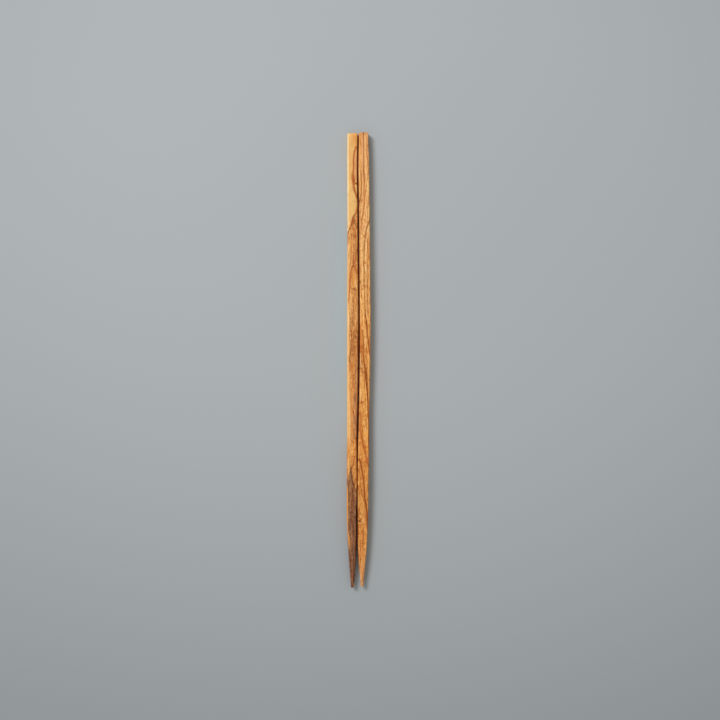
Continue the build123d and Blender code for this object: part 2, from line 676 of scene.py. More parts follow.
@dataclass(frozen=True)
class WoodFinish:
    """One stick's wood: its colours along the length, its growth lines and its marks."""

    name: str
    slant: float
    stretches: Stretches
    drift: Points
    swirls: tuple[Swirl, ...]
    marks: tuple[Line | Fleck, ...]
    seed: float
    shift: float = 0.0
    heartwood: Stretches | None = None
    heart_edge: Zone | None = None
    bands: Streaks = Streaks(2.6, 95.0, 0.55, reach=0.2)
    fine_lines: Streaks = Streaks(0.75, 15.0, 0.8, middle=0.49)
    ticks: Streaks = Streaks(1.6, 2.4, 0.5, detail=3.0, seed_step=5.0)
    surface: SandedSurface = SandedSurface()
    middle_tone: Colour = (216, 150, 88)
    depth: float = 1.25
    wave_detail: float = 1.0
    sway: float = 0.9
    sway_size: tuple[float, float, float] = (5.0, 16.0, 7.0)
    feather: float = 0.5
    feather_size: tuple[float, float, float] = (0.5, 13.0, 0.5)
    ragged: float = 4.0
    ragged_size: tuple[float, float, float] = (0.7, 40.0, 0.7)

    def grain(self, bench: ShaderBench) -> Grain:
        """Finds a point's place in the wood.

        The veins lean as they go down into the stick, so what shows on the top face carries over onto the
        sides. The fibres are uneven, so every edge of a mark is a little wavy, feathered and ragged.

        Args:
            bench: The material's nodes.

        Returns:
            The place, wavy as the fibres are.
        """
        own = bench.node("ShaderNodeTexCoord").outputs["Object"]
        straight = bench.vector("MULTIPLY_ADD", own, VIEW.place_scale(), VIEW.place_offset())
        parts = bench.node("ShaderNodeSeparateXYZ", None, {0: straight})
        across, along, depth = (Flow(bench, output) for output in parts.outputs)
        shifted = bench.vector("ADD", straight, (self.seed, self.seed, self.seed))
        slow = bench.noise(bench.vector("DIVIDE", shifted, self.sway_size), self.wave_detail)
        fine = bench.noise(bench.vector("DIVIDE", shifted, self.feather_size), self.wave_detail)
        ends = bench.noise(bench.vector("DIVIDE", shifted, self.ragged_size), self.wave_detail)
        across = across - self.shift + depth * self.slant
        across = across + (slow - 0.5) * self.sway + (fine - 0.5) * self.feather
        along = along + (ends - 0.5) * self.ragged
        place = bench.node("ShaderNodeCombineXYZ", None, {0: across, 1: along, 2: 0.0}).outputs[0]
        return Grain(bench, place, across, along)

    def growth(self, grain: Grain) -> Flow:
        """The place across the growth lines, which drift along the stick and run round the swirls.

        Args:
            grain: The point.

        Returns:
            The place, in pixels.
        """
        first, last = self.drift[0][0], self.drift[-1][0]
        low = min(shift for _, shift in self.drift)
        reach = max(shift for _, shift in self.drift) - low
        line = [(share_of(at, first, last), (shift - low) / reach) for at, shift in self.drift]
        place = grain.across - grain.bench.curve(share_of(grain.along, first, last), line) * reach
        for swirl in self.swirls:
            place = place + swirl.shift(grain)
        return place

    def material(self) -> bpy.types.Material:
        """Builds the wood.

        Returns:
            The material.
        """
        bench = ShaderBench(self.name)
        grain = self.grain(bench)
        colour = self.stretches.paint(grain)
        growth = self.growth(grain)
        bands = self.bands.noise(grain, growth, self.seed)
        fine_lines = self.fine_lines.noise(grain, growth, self.seed)
        ticks = self.ticks.noise(grain, grain.across, self.seed)
        if self.heart_edge and self.heartwood:
            colour = bench.paint("MIX", self.heart_edge.mask(grain), colour, self.heartwood.paint(grain))
        for streaks, noise in ((self.bands, bands), (self.fine_lines, fine_lines), (self.ticks, ticks)):
            colour = streaks.shade(bench, colour, noise)
        colour = self.deepen(bench, self.draw_marks(bench, colour, grain))
        return self.surface.build(bench, colour, bands, self.seed)

    def draw_marks(
        self, bench: ShaderBench, colour: bpy.types.NodeSocket, grain: Grain
    ) -> bpy.types.NodeSocket:
        """Draws the marks over the wood, tone by tone.

        Args:
            bench: The material's nodes.
            colour: The wood's colour.
            grain: The place in the wood.

        Returns:
            The colour with the marks.
        """
        masks: dict[Tone, Flow] = {}
        for mark in self.marks:
            mask = mark.mask(grain)
            masks[mark.tone] = masks[mark.tone] | mask if mark.tone in masks else mask
        for tone in Tone:
            if tone in masks:
                colour = bench.paint("MIX", masks[tone], colour, linear(tone.value))
        return colour

    def deepen(self, bench: ShaderBench, colour: bpy.types.NodeSocket) -> bpy.types.NodeSocket:
        """Deepens the figure: what is darker than the middle tone gets darker, and what is paler gets paler.

        Args:
            bench: The material's nodes.
            colour: The wood's colour.

        Returns:
            The deepened colour.
        """
        middle = linear(self.middle_tone)[:3]
        share = bench.vector("DIVIDE", colour, middle)
        deeper = bench.node("ShaderNodeGamma", None, {"Color": share, "Gamma": self.depth}).outputs[0]
        return bench.vector("MULTIPLY", deeper, middle)


# The sticks


@dataclass(frozen=True)
class Section:
    """One cross section of a stick, in metres: its place, its box, its corner radius and its reach.

    The reach is how much further the base goes towards the other stick than the top does.
    """

    along: float
    left: float
    right: float
    low: float
    high: float
    radius: float
    reach: float

    @property
    def centre(self) -> Vector:
        """The middle of the section's box."""
        return Vector(((self.left + self.right) / 2, self.along, (self.low + self.high) / 2))


@dataclass
class Stick:
    """One stick, modelled as a skin over rounded sections that follow its solid."""

    node: str
    neighbour: str
    toward: int
    piece: str
    slot: str
    finish: WoodFinish
    head_easing: float
    tip_easing: float
    tip_width: float
    shaft_width: float = 5.1 * MM
    corner_radius: float = 0.5 * MM
    tip_corner_share: float = 0.4
    roundest_share: float = 0.44
    end_margin: float = 1.0 * MM
    taper_length: float = 38.0 * MM
    shaft_step: float = 4.0 * MM
    taper_step: float = 2.0 * MM
    easing_steps: int = 4
    least_inset: float = 0.01 * MM
    outside: float = 50 * MM
    corner_segments: int = 5
    widest_reach: float = 0.58 * MM
    base_gap: float = 0.09 * MM
    flat_cuts: int = 2
    flat_slope: float = 0.14
    cap_inset: float = 0.3
    smoothing: int = 2
    solid: BVHTree = field(init=False, repr=False)
    other_solid: BVHTree = field(init=False, repr=False)

    def __post_init__(self) -> None:
        """Takes the stick's solid and its neighbour's from the frame, to measure them."""
        graph = bpy.context.evaluated_depsgraph_get()
        self.solid = BVHTree.FromObject(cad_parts[self.node], graph)
        self.other_solid = BVHTree.FromObject(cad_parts[self.neighbour], graph)

    def places(self) -> list[float]:
        """Where the sections stand along the stick, from its tip to its head.

        Returns:
            The places along the stick, in metres.
        """
        low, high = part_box(self.node)
        shoulder = low.y + self.taper_length
        tip, head = low.y + self.tip_easing, high.y - self.head_easing
        angles = [math.pi / 2 * step / self.easing_steps for step in range(self.easing_steps)]
        rounded = [1 - math.cos(angle) for angle in angles]
        places = [low.y + max(self.tip_easing * share, self.least_inset) for share in rounded]
        taper_steps = round((shoulder - tip) / self.taper_step)
        places += [tip + (shoulder - tip) * step / taper_steps for step in range(taper_steps)]
        shaft_steps = round((head - shoulder) / self.shaft_step)
        places += [shoulder + (head - shoulder) * step / shaft_steps for step in range(shaft_steps + 1)]
        places += [high.y - max(self.head_easing * share, self.least_inset) for share in reversed(rounded)]
        return places

    def hit(self, start: Vector, direction: Vector) -> Vector:
        """Where a line from outside first meets the solid."""
        return self.solid.ray_cast(start, direction)[0]

    def sections(self) -> list[Section]:
        """Measures the solid at each place along it.

        Returns:
            The sections, from the tip to the head.
        """
        tip = min((vertex.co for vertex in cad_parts[self.node].data.vertices), key=lambda co: co.y)
        middle, far = tip.x, self.outside
        sections = []
        for along in self.places():
            for _ in range(2):
                top = self.hit(Vector((middle, along, far)), Vector((0, 0, -1))).z
                bottom = self.hit(Vector((middle, along, -far)), Vector((0, 0, 1))).z
                level = (top + bottom) / 2
                outer = self.hit(Vector((-far, along, level)), Vector((1, 0, 0))).x
                inner = self.hit(Vector((far, along, level)), Vector((-1, 0, 0))).x
                middle = (outer + inner) / 2
            width = inner - outer
            reach = self.reach(along, level) * self.kept(width)
            sections.append(Section(along, outer, inner, bottom, top, self.radius(width), reach))
        return sections

    def kept(self, width: float) -> float:
        """How much of the shaft's form a section of some width has: none at the tip, all on the shaft."""
        return min(max((width - self.tip_width) / (self.shaft_width - self.tip_width), 0.0), 1.0)

    def radius(self, width: float) -> float:
        """The corner radius of a section: nearly round at the tip, eased on the shaft.

        Args:
            width: How wide the section is.

        Returns:
            The radius, in metres.
        """
        tip_radius = self.tip_corner_share * self.tip_width
        eased = tip_radius + (self.corner_radius - tip_radius) * self.kept(width)
        return min(eased, self.roundest_share * width)

    def reach(self, along: float, level: float) -> float:
        """How far the base reaches towards the other stick, which it nearly touches.

        Args:
            along: The place along the stick.
            level: The height at which the gap between the sticks is measured.

        Returns:
            The reach, in metres.
        """
        low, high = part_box(self.neighbour)
        near = min(max(along, low.y + self.end_margin), high.y - self.end_margin)
        far = self.toward * self.outside
        own = self.solid.ray_cast(Vector((far, near, level)), Vector((-self.toward, 0, 0)))[0].x
        other = self.other_solid.ray_cast(Vector((-far, near, level)), Vector((self.toward, 0, 0)))[0].x
        return min(max((abs(other - own) - self.base_gap) / 2, 0.0), self.widest_reach)

    def model(self) -> bpy.types.Object:
        """Models the stick: rounded sections, bridged into a skin, closed at both ends and smoothed.

        Returns:
            The finished piece.
        """
        sections = self.sections()
        bpy.ops.object.select_all(action="DESELECT")
        bpy.ops.mesh.primitive_plane_add(size=1, location=(0, 0, 0))
        piece = bpy.context.object
        piece.name = self.piece
        bpy.ops.object.mode_set(mode="EDIT")
        bpy.ops.mesh.delete(type="VERT")
        for section in sections:
            self.add_section(piece, section)
        bpy.ops.mesh.select_all(action="SELECT")
        bpy.ops.mesh.bridge_edge_loops(type="SINGLE")
        self.cut_flats(piece)
        bpy.ops.mesh.select_all(action="SELECT")
        bpy.ops.mesh.fill_holes(sides=0)
        self.inset_caps(piece, sections)
        bpy.ops.mesh.select_all(action="SELECT")
        bpy.ops.mesh.normals_make_consistent(inside=False)
        bpy.ops.object.mode_set(mode="OBJECT")
        smoother = piece.modifiers.new("smoothing", "SUBSURF")
        smoother.levels = smoother.render_levels = self.smoothing
        bpy.ops.object.modifier_apply(modifier=smoother.name)
        bpy.ops.object.shade_smooth()
        return piece

    def add_section(self, piece: bpy.types.Object, section: Section) -> None:
        """Adds one section: a plane turned upright, sized, bevelled at its corners, and fuller at its base.

        Args:
            piece: The stick, in edit mode.
            section: The section.
        """
        size = (section.right - section.left, 1.0, section.high - section.low)
        bpy.ops.mesh.select_all(action="DESELECT")
        bpy.ops.mesh.primitive_plane_add(size=1, location=section.centre, rotation=(math.pi / 2, 0, 0))
        bpy.ops.transform.resize(value=size, center_override=section.centre)
        bpy.ops.mesh.bevel(affect="VERTICES", offset=section.radius, segments=self.corner_segments)
        bpy.ops.mesh.delete(type="ONLY_FACE")
        mesh = bmesh.from_edit_mesh(piece.data)
        for vertex in mesh.verts:
            aside, ahead, above = vertex.co - section.centre
            vertex.select_set(abs(ahead) < SAME_PLACE and aside * self.toward > 0 > above)
        bmesh.update_edit_mesh(piece.data)
        bpy.ops.transform.translate(value=(self.toward * section.reach, 0, 0))

    def cut_flats(self, piece: bpy.types.Object) -> None:
        """Cuts the flat sides lengthways, so that smoothing keeps them flat.

        Args:
            piece: The stick, in edit mode.
        """
        mesh = bmesh.from_edit_mesh(piece.data)
        for edge in mesh.edges:
            span = edge.verts[1].co - edge.verts[0].co
            less, more = sorted((abs(span.x), abs(span.z)))
            edge.select_set(abs(span.y) < SAME_PLACE and less < more * self.flat_slope)
        bmesh.update_edit_mesh(piece.data)
        bpy.ops.mesh.subdivide(number_cuts=self.flat_cuts)

    def inset_caps(self, piece: bpy.types.Object, sections: list[Section]) -> None:
        """Insets the two end faces, so that the smoothing leaves their rims crisp and their middles flat.

        Args:
            piece: The stick, in edit mode.
            sections: Its sections, from the tip to the head.
        """
        for section in (sections[0], sections[-1]):
            mesh = bmesh.from_edit_mesh(piece.data)
            for face in mesh.faces:
                face.select_set(abs(face.calc_center_median().y - section.along) < SAME_PLACE)
            bmesh.update_edit_mesh(piece.data)
            bpy.ops.mesh.inset(thickness=section.radius * self.cap_inset)

    def build(self) -> None:
        """Models the stick, dresses it, and puts it in its solid's place."""
        piece = self.model()
        piece.data.materials.clear()
        piece.data.materials.append(self.finish.material())
        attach(piece, "root")
        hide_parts(self.node)
        nodes = len(piece.data.materials[0].node_tree.nodes)
        log.info("%s: %d faces, %d shader nodes", self.piece, len(piece.data.polygons), nodes)


# The studio


@dataclass(frozen=True)
class Studio:
    """A plain pale floor under one soft lamp, with an even fill from all round."""

    floor_size: float = 8.0
    floor_drop: float = 0.02 * MM
    floor_middle: tuple[float, float, float] = (0.04, 0.083, 0.0)
    floor_fading: tuple[float, float, float] = (1.0, 1.25, 1.0)
    floor_level: float = 0.10
    floor_edge: float = 0.55
    # floor_bright and floor_dim are a painted falloff of light, running outwards from floor_middle
    floor_bright: Colour = (169, 174, 179)
    floor_dim: Colour = (140, 146, 151)
    floor_roughness: float = 0.9
    floor_sheen: float = 0.1
    floor_cuts: int = 7
    lit_side: tuple[float, float, float] = (-4 * MM, 30 * MM, 0.0)
    lit_reach: tuple[float, float, float] = (14 * MM, 110 * MM, 1.0)
    lit_core: float = 0.3
    lit_tint: tuple[float, float, float, float] = (0.945, 1.04, 1.08, 1.0)
    lamp_direction: tuple[float, float, float] = (-0.473, 0.473, 0.743)
    lamp_distance: float = 1.5
    lamp_size: float = 0.7
    lamp_share: float = 0.5
    fill_share: float = 0.5
    fill_colour: tuple[float, float, float, float] = (1.0, 1.0, 0.92, 1.0)

    def build(self) -> None:
        """Builds the floor, the lamp and the fill, and shows colours as they are written."""
        bpy.context.scene.view_settings.view_transform = "Standard"
        self.lay_floor()
        self.hang_lamp()
        self.fill()

    def lay_floor(self) -> None:
        """Lays the floor with a painted falloff of light: a touch paler towards the heads of the sticks.

        Beside the left stick it is a touch cooler, which makes up for the warm light that the wood throws
        there.
        """
        bench = ShaderBench("pale_floor")
        own = bench.node("ShaderNodeTexCoord").outputs["Object"]
        beside = bench.vector("SUBTRACT", own, self.floor_middle)
        away = bench.length(bench.vector("MULTIPLY", beside, self.floor_fading))
        bright, dim = linear(self.floor_bright), linear(self.floor_dim)
        # Painted falloff of light: paler near floor_middle, dimmer away from it
        colour = bench.paint("MIX", away.ease(self.floor_level, self.floor_edge), bright, dim)
        aside = bench.vector("DIVIDE", bench.vector("SUBTRACT", own, self.lit_side), self.lit_reach)
        lit = bench.length(aside).ease(self.lit_core, 1.0, 1.0, 0.0)
        colour = bench.paint("MULTIPLY", lit, colour, self.lit_tint)
        sockets = {"Base Color": colour, "Roughness": self.floor_roughness}
        shader = bench.node("ShaderNodeBsdfPrincipled", None, sockets)
        shader.inputs["Specular IOR Level"].default_value = self.floor_sheen
        bench.node("ShaderNodeOutputMaterial", None, {"Surface": shader.outputs[0]})
        bpy.ops.object.select_all(action="DESELECT")
        bpy.ops.mesh.primitive_plane_add(size=self.floor_size, location=(0, 0, 0))
        floor = bpy.context.object
        floor.name = "floor"
        bpy.ops.object.mode_set(mode="EDIT")
        bpy.ops.mesh.subdivide(number_cuts=self.floor_cuts)
        bpy.ops.transform.translate(value=(0, 0, -self.floor_drop))
        bpy.ops.object.mode_set(mode="OBJECT")
        floor.data.materials.append(bench.material)

    def hang_lamp(self) -> None:
        """Hangs the soft lamp to the upper left, as strong as its share of the light on a level face."""
        toward = Vector(self.lamp_direction).normalized()
        bpy.ops.object.light_add(type="AREA", location=toward * self.lamp_distance)
        lamp = bpy.context.object
        lamp.name = "soft_lamp"
        lamp.rotation_euler = toward.to_track_quat("Z", "Y").to_euler()
        lamp.data.shape = "DISK"
        lamp.data.size = self.lamp_size
        nearness = 1 + (self.lamp_size / 2 / self.lamp_distance) ** 2
        lamp.data.energy = nearness * self.lamp_share * (math.pi * self.lamp_distance) ** 2 / toward.z

    def fill(self) -> None:
        """Fills the shade evenly, and gives the camera a plain pale backdrop beyond the floor."""
        world = bpy.data.worlds.new("studio")
        bpy.context.scene.world = world
        world.use_nodes = True
        nodes, links = world.node_tree.nodes, world.node_tree.links
        nodes.clear()
        rays = nodes.new("ShaderNodeLightPath")
        seen, unseen = nodes.new("ShaderNodeBackground"), nodes.new("ShaderNodeBackground")
        seen.inputs["Color"].default_value = linear(self.floor_bright)
        unseen.inputs["Strength"].default_value = self.fill_share
        unseen.inputs["Color"].default_value = self.fill_colour
        mixer, output = nodes.new("ShaderNodeMixShader"), nodes.new("ShaderNodeOutputWorld")
        links.new(rays.outputs["Is Camera Ray"], mixer.inputs[0])
        links.new(unseen.outputs[0], mixer.inputs[1])
        links.new(seen.outputs[0], mixer.inputs[2])
        links.new(mixer.outputs[0], output.inputs["Surface"])


def flecks(tone: Tone, *rows: tuple[float, ...]) -> tuple[Fleck, ...]:
    """Makes flecks of one tone.

    Args:
        tone: Their tone.
        rows: One row for each: across, along, half width, half length and strength, and then its turn and
            core where it has them.

    Returns:
        The flecks.
    """
    return tuple(Fleck(*row[:4], tone, *row[4:]) for row in rows)


# The pale sapwood of the left head, and the outer edge's strip: partly sapwood, partly a painted highlight
LEFT_SAPWOOD_AND_PAINTED_EDGE_LIGHT = (
    Zone(
        ((130, 362), (196, 362), (204, 358.6), (207, 357.5), (211, 356), (215, 354.3), (219, 352.3),
         (223, 351), (227, 350), (230, 348.8), (233, 347.4), (236, 345.8), (241, 341), (248, 335)),
        Tone.SAPWOOD, 0.8, 0, softness=0.8, past_line=False,
    ),
    # Pale strips along the outer edge: partly sapwood, partly a painted highlight of the lit outer side
    Zone(
        ((238, 346.6), (244, 347.8), (254, 348.4), (275, 348.5), (288, 348.3), (302, 348.9), (318, 349.5),
         (334, 349.2), (352, 349), (372, 349.3), (395, 349.8), (420, 350.4), (438, 349.9), (452, 345.5)),
        Tone.PALE, 0.8, 0.1, 0.15, past_line=False,
    ),
    Zone(
        ((240, 347), (262, 349.5), (300, 350), (350, 350), (400, 351.2), (440, 351.2), (462, 348.5)),
        Tone.PALE, 0.35, 0.1, 0.2, softness=5, past_line=False,
    ),
)

# The head, and the lens of paler wood against the inner edge
LEFT_HEAD = (
    # Cream strip along the outer edge: partly sapwood, partly a painted highlight of the lit outer side
    Vein(((131, 347.4), (180, 347.2), (224, 347.6)), Tone.CREAM, 0.95, 0.02, 0.1, left=2, right=1.7),
    Vein(
        ((146.5, 358.2), (148.5, 355.8), (151, 354.1), (155, 353.5), (160, 353.2), (166, 353.2),
         (171, 353), (177, 352.8), (183, 353), (187, 353.4), (190.5, 354.2), (194, 355.4), (200, 357.4)),
        Tone.AMBER, 1, 0.05, 0.1, left=1.7, right=1.6,
    ),
    Vein(((186, 352), (190, 352.8), (195, 354.6), (199, 356.4)), Tone.BROWN, 0.45, left=0.9, right=0.9),
    *flecks(Tone.HONEY, (355, 138, 6, 13, 0.75, 0, 0.2), (351, 160, 2, 20, 0.3), (351.3, 172, 1, 12, 0.5)),
    *flecks(Tone.PEACH, (355.8, 167, 2.1, 21, 1, 0, 0.5)),
    *flecks(
        Tone.AMBER,
        (355.2, 147.2, 2.4, 2.6, 0.9, 30), (355.3, 150.4, 1.3, 2, 0.55), (353.6, 151.6, 1.5, 2.6, 0.7, 30),
        (352.8, 178.5, 2.6, 10.5, 0.95, 0, 0.3), (352.3, 184.6, 1.5, 2.8, 0.7),
    ),
    *flecks(Tone.TAN, (356, 141, 2.6, 9, 0.22)),
    *flecks(Tone.CREAM, (349.3, 135.2, 1.5, 2.4, 0.45)),
    *flecks(
        Tone.RUST,
        (353.6, 180.5, 1.7, 4.5, 0.7), (355.2, 183.6, 2.7, 1.5, 0.95, 14, 0.2),
        (353.9, 190, 1.2, 5, 0.6, -8),
    ),
)

# The slanting edge of the sapwood, and the dark knot on it
LEFT_KNOT = (
    Vein(
        ((204, 358.8), (207, 357.5), (210.5, 356.1), (214.5, 354.6), (217, 352.9), (220, 351.6),
         (223, 350.9), (227, 350.2), (229.5, 349), (232, 347.9), (236, 346.6), (241, 342.5)),
        Tone.AMBER, 0.9, 0.05, 0.2, right=1.4,
    ),
    Vein(((219, 353.9), (222, 354.8), (226, 356.1), (231, 358.2)), Tone.BROWN, 0.8, left=0.9, right=0.9),
    Vein(((237, 357.6), (246, 357), (256, 356.6), (264, 357.6)), Tone.BROWN, 0.5, left=1.2, right=1.4),
    *flecks(
        Tone.HONEY,
        (356.4, 219.4, 1, 3, 0.6), (355.6, 222, 1.2, 3.4, 0.5), (353.4, 226.6, 1.6, 3, 0.7, -8),
        (353.4, 231.2, 3, 3, 0.7), (352, 242, 4.6, 4.6, 0.45), (350, 246, 2.6, 9, 0.6),
    ),
    *flecks(Tone.PALE, (354.4, 242, 1.5, 4.6, 0.5), (348.6, 248, 2.2, 10.5, 0.95)),
    *flecks(Tone.ORANGE, (347.6, 240, 1.1, 8, 0.35)),
    *flecks(
        Tone.AMBER,
        (356.5, 208.4, 1.5, 3.8, 0.75, 24), (355.4, 211.4, 1.3, 2.6, 0.7, 24),
        (352.4, 217.4, 1.2, 2, 0.6, 24), (351.4, 228.4, 1.6, 1.6, 0.85),
    ),
    *flecks(Tone.CREAM, (348.2, 223.4, 1.5, 4.2, 0.85)),
    *flecks(
        Tone.BROWN,
        (353.7, 215.2, 1.5, 2.4, 0.7, 24), (353.6, 230.3, 2.8, 0.6, 0.2, -24),
        (353.2, 235.6, 2.9, 1, 0.65, 3), (350, 249.6, 2.4, 0.8, 0.3, -30),
    ),
    *flecks(Tone.RUST, (353, 220.4, 2.7, 6, 0.6, -6, 0.35), (351.2, 224.6, 1.1, 3.2, 0.6, 12)),
    *flecks(
        Tone.DARK,
        (353.8, 216.4, 1, 2.4, 0.35, 14), (349.8, 228.6, 1.9, 0.9, 0.6, -40),
        (348.1, 232.2, 0.9, 2.4, 0.5, 20),
    ),
    # A painted glint on the outer edge
    *flecks(Tone.CHALK, (346.9, 229.6, 0.8, 2.2, 0.8, 0, 0.2)),
)

# The peak, the uneven ovals over it and the wood under it
LEFT_PEAK = (
    Vein(
        ((256, 355.9), (260, 354.8), (264, 353.3), (267, 351.9), (271, 351), (276, 350.4), (282, 350),
         (289, 349.7), (296, 349.2), (306, 348.8)),
        Tone.AMBER, 0.95, 0.1, 0.3, left=1.2, right=1.2,
    ),
    Vein(((264.5, 353), (267.5, 354.3), (270, 355.6), (274, 357.8)), Tone.AMBER, 0.9, left=1, right=1.6),
    Vein(((296, 353.3), (310, 353.6), (328, 353)), Tone.BROWN, 0.3, left=1.4, right=1.4),
    Vein(((308, 351.9), (320, 352.4), (329, 352.7)), Tone.MAUVE, 0.35, left=1.4, right=1.4),
    Vein(((316, 350.5), (323, 350.3), (329, 350.7)), Tone.BROWN, 0.35),
    *flecks(Tone.HONEY, (353.9, 279, 3.6, 11, 0.85, 0, 0.3)),
    *flecks(Tone.PEACH, (352.8, 252.6, 0.9, 0.8, 0.6), (350.6, 259, 0.7, 1.2, 0.5)),
    *flecks(
        Tone.PALE,
        (355.6, 262.5, 1.2, 2.2, 0.5, 20), (355.4, 283, 1.6, 4.8, 0.75), (356.5, 285.8, 1.1, 2.8, 0.8),
        (350.6, 291.4, 1.2, 2.6, 0.6), (350.3, 293.5, 1.5, 5, 0.5), (354.9, 294.2, 0.8, 0.7, 0.7),
        (348.8, 297.4, 1.5, 7, 0.95), (351.4, 298, 1.4, 9, 0.3), (355.5, 322.6, 1.4, 5, 0.5),
    ),
    *flecks(
        Tone.AMBER,
        (356.4, 270, 1.4, 7, 0.2), (353.4, 270.6, 1.5, 3.2, 0.4), (356.6, 299.6, 1.2, 3.4, 0.6),
    ),
    *flecks(Tone.CREAM, (349, 322, 1.6, 12, 0.55)),
    *flecks(
        Tone.BROWN,
        (352.9, 252.4, 1.9, 1.6, 0.45), (353, 257.4, 1, 2.6, 0.3, 24), (350.9, 258.2, 1.5, 2.6, 0.4, 20),
        (350.4, 263.6, 2, 0.7, 0.3, -36), (352.6, 266.8, 1.5, 3, 0.95, 34), (351, 287, 2, 0.7, 0.45, 10),
        (354.8, 294, 1.6, 1.5, 0.5),
    ),
    *flecks(Tone.DARK, (354.4, 289.2, 3, 0.9, 0.95, 38, 0.1)),
)

# The broken lines half way down
LEFT_MIDDLE = (
    Vein(((331, 355), (336, 354), (343, 353.6)), Tone.BROWN, 0.6),
    Vein(
        ((342, 352.2), (346, 351.7), (349, 351.1), (353, 350.4), (357, 350), (362, 349.3)),
        Tone.BROWN, 0.75, 0.2, 0.2, left=1,
    ),
    Vein(((360, 355.8), (382, 355.8), (400, 355.6), (418, 355.5), (434, 355)), Tone.MAUVE, 0.6),
    # Painted light along the inner edge, which lightens the shade of the seam between the sticks
    Vein(((362, 356.7), (400, 356.9), (426, 356.8), (444, 356.4)), Tone.CREAM, 0.22, left=0.9, right=1.2),
    Vein(((380, 351.8), (400, 351.7), (432, 351.9)), Tone.HONEY, 0.5, left=1, right=1),
    *flecks(
        Tone.PALE,
        (350.4, 337.8, 1.4, 3.8, 0.85), (352.6, 352.6, 1.7, 1, 0.55, -10), (352.3, 357.6, 1.4, 1.5, 0.35),
        (353.5, 382.4, 1.3, 3.4, 0.4),
    ),
    *flecks(
        Tone.ORANGE,
        (352, 368, 5, 9, 0.35), (350.7, 383.2, 1.2, 3.4, 0.7), (349.6, 386, 1.6, 10, 0.45),
    ),
    *flecks(Tone.RED, (352.3, 367.8, 1.8, 0.8, 0.35, 8), (352.8, 376.2, 1.9, 0.8, 0.3, 15)),
    *flecks(
        Tone.BROWN,
        (351.3, 331.4, 2.1, 0.8, 0.7, 32), (354.4, 331.4, 1.9, 0.9, 0.7, -42),
        (356.5, 331.4, 1.5, 5, 0.75), (355.5, 336.8, 1.5, 3.4, 0.95, 0, 0.2), (353.6, 346, 4, 14, 0.3),
        (349.6, 357.4, 2, 0.8, 0.5, 20),
    ),
)

# The greyish patches towards the inner edge
LEFT_PATCHES = (
    Vein(((396, 350.2), (410, 350.5), (432, 350.8)), Tone.ORANGE, 0.35, left=1.5, right=1.5),
    Vein(((400, 357), (420, 356.8), (442, 356.4)), Tone.PEACH, 0.7, left=0.8, right=1.4),
    Vein(((441, 355.6), (446, 353.6), (452, 351.2), (457, 349.4)), Tone.PALE, 0.45, left=0.9, right=0.9),
    Vein(((446, 356.2), (452, 354), (458, 351.8), (464, 349.6)), Tone.BROWN, 0.35, left=0.8, right=0.8),
    Vein(((456, 354.4), (461, 353.2), (466, 352), (470, 350.8)), Tone.BROWN, 0.55, left=0.8, right=0.9),
    Ripple(353, 426, 5, 17, Tone.BROWN, 0.14, pitch=4.2, lean=-0.05),
    *flecks(Tone.HONEY, (351.9, 424, 1.5, 5.5, 0.65), (351, 451, 5, 13, 0.4)),
    *flecks(Tone.PEACH, (355.6, 460, 1.3, 5, 0.6, 10)),
    *flecks(Tone.PALE, (348, 464, 1.7, 10, 0.8)),
    *flecks(Tone.ORANGE, (350, 456.5, 3, 0.8, 0.45, 4), (352.3, 459, 3, 0.9, 0.35, -24)),
    *flecks(
        Tone.MAUVE,
        (355.4, 397, 1, 6, 0.5), (354.6, 399, 2.6, 9, 0.55), (353.3, 405.5, 1.8, 2.4, 0.5),
        (354.6, 421, 2.6, 9, 0.55), (354.4, 429.6, 1.8, 5.5, 0.55), (353.8, 436, 2.8, 6, 0.5),
    ),
    *flecks(Tone.BROWN, (354.8, 438.5, 1.2, 2.2, 0.45)),
)

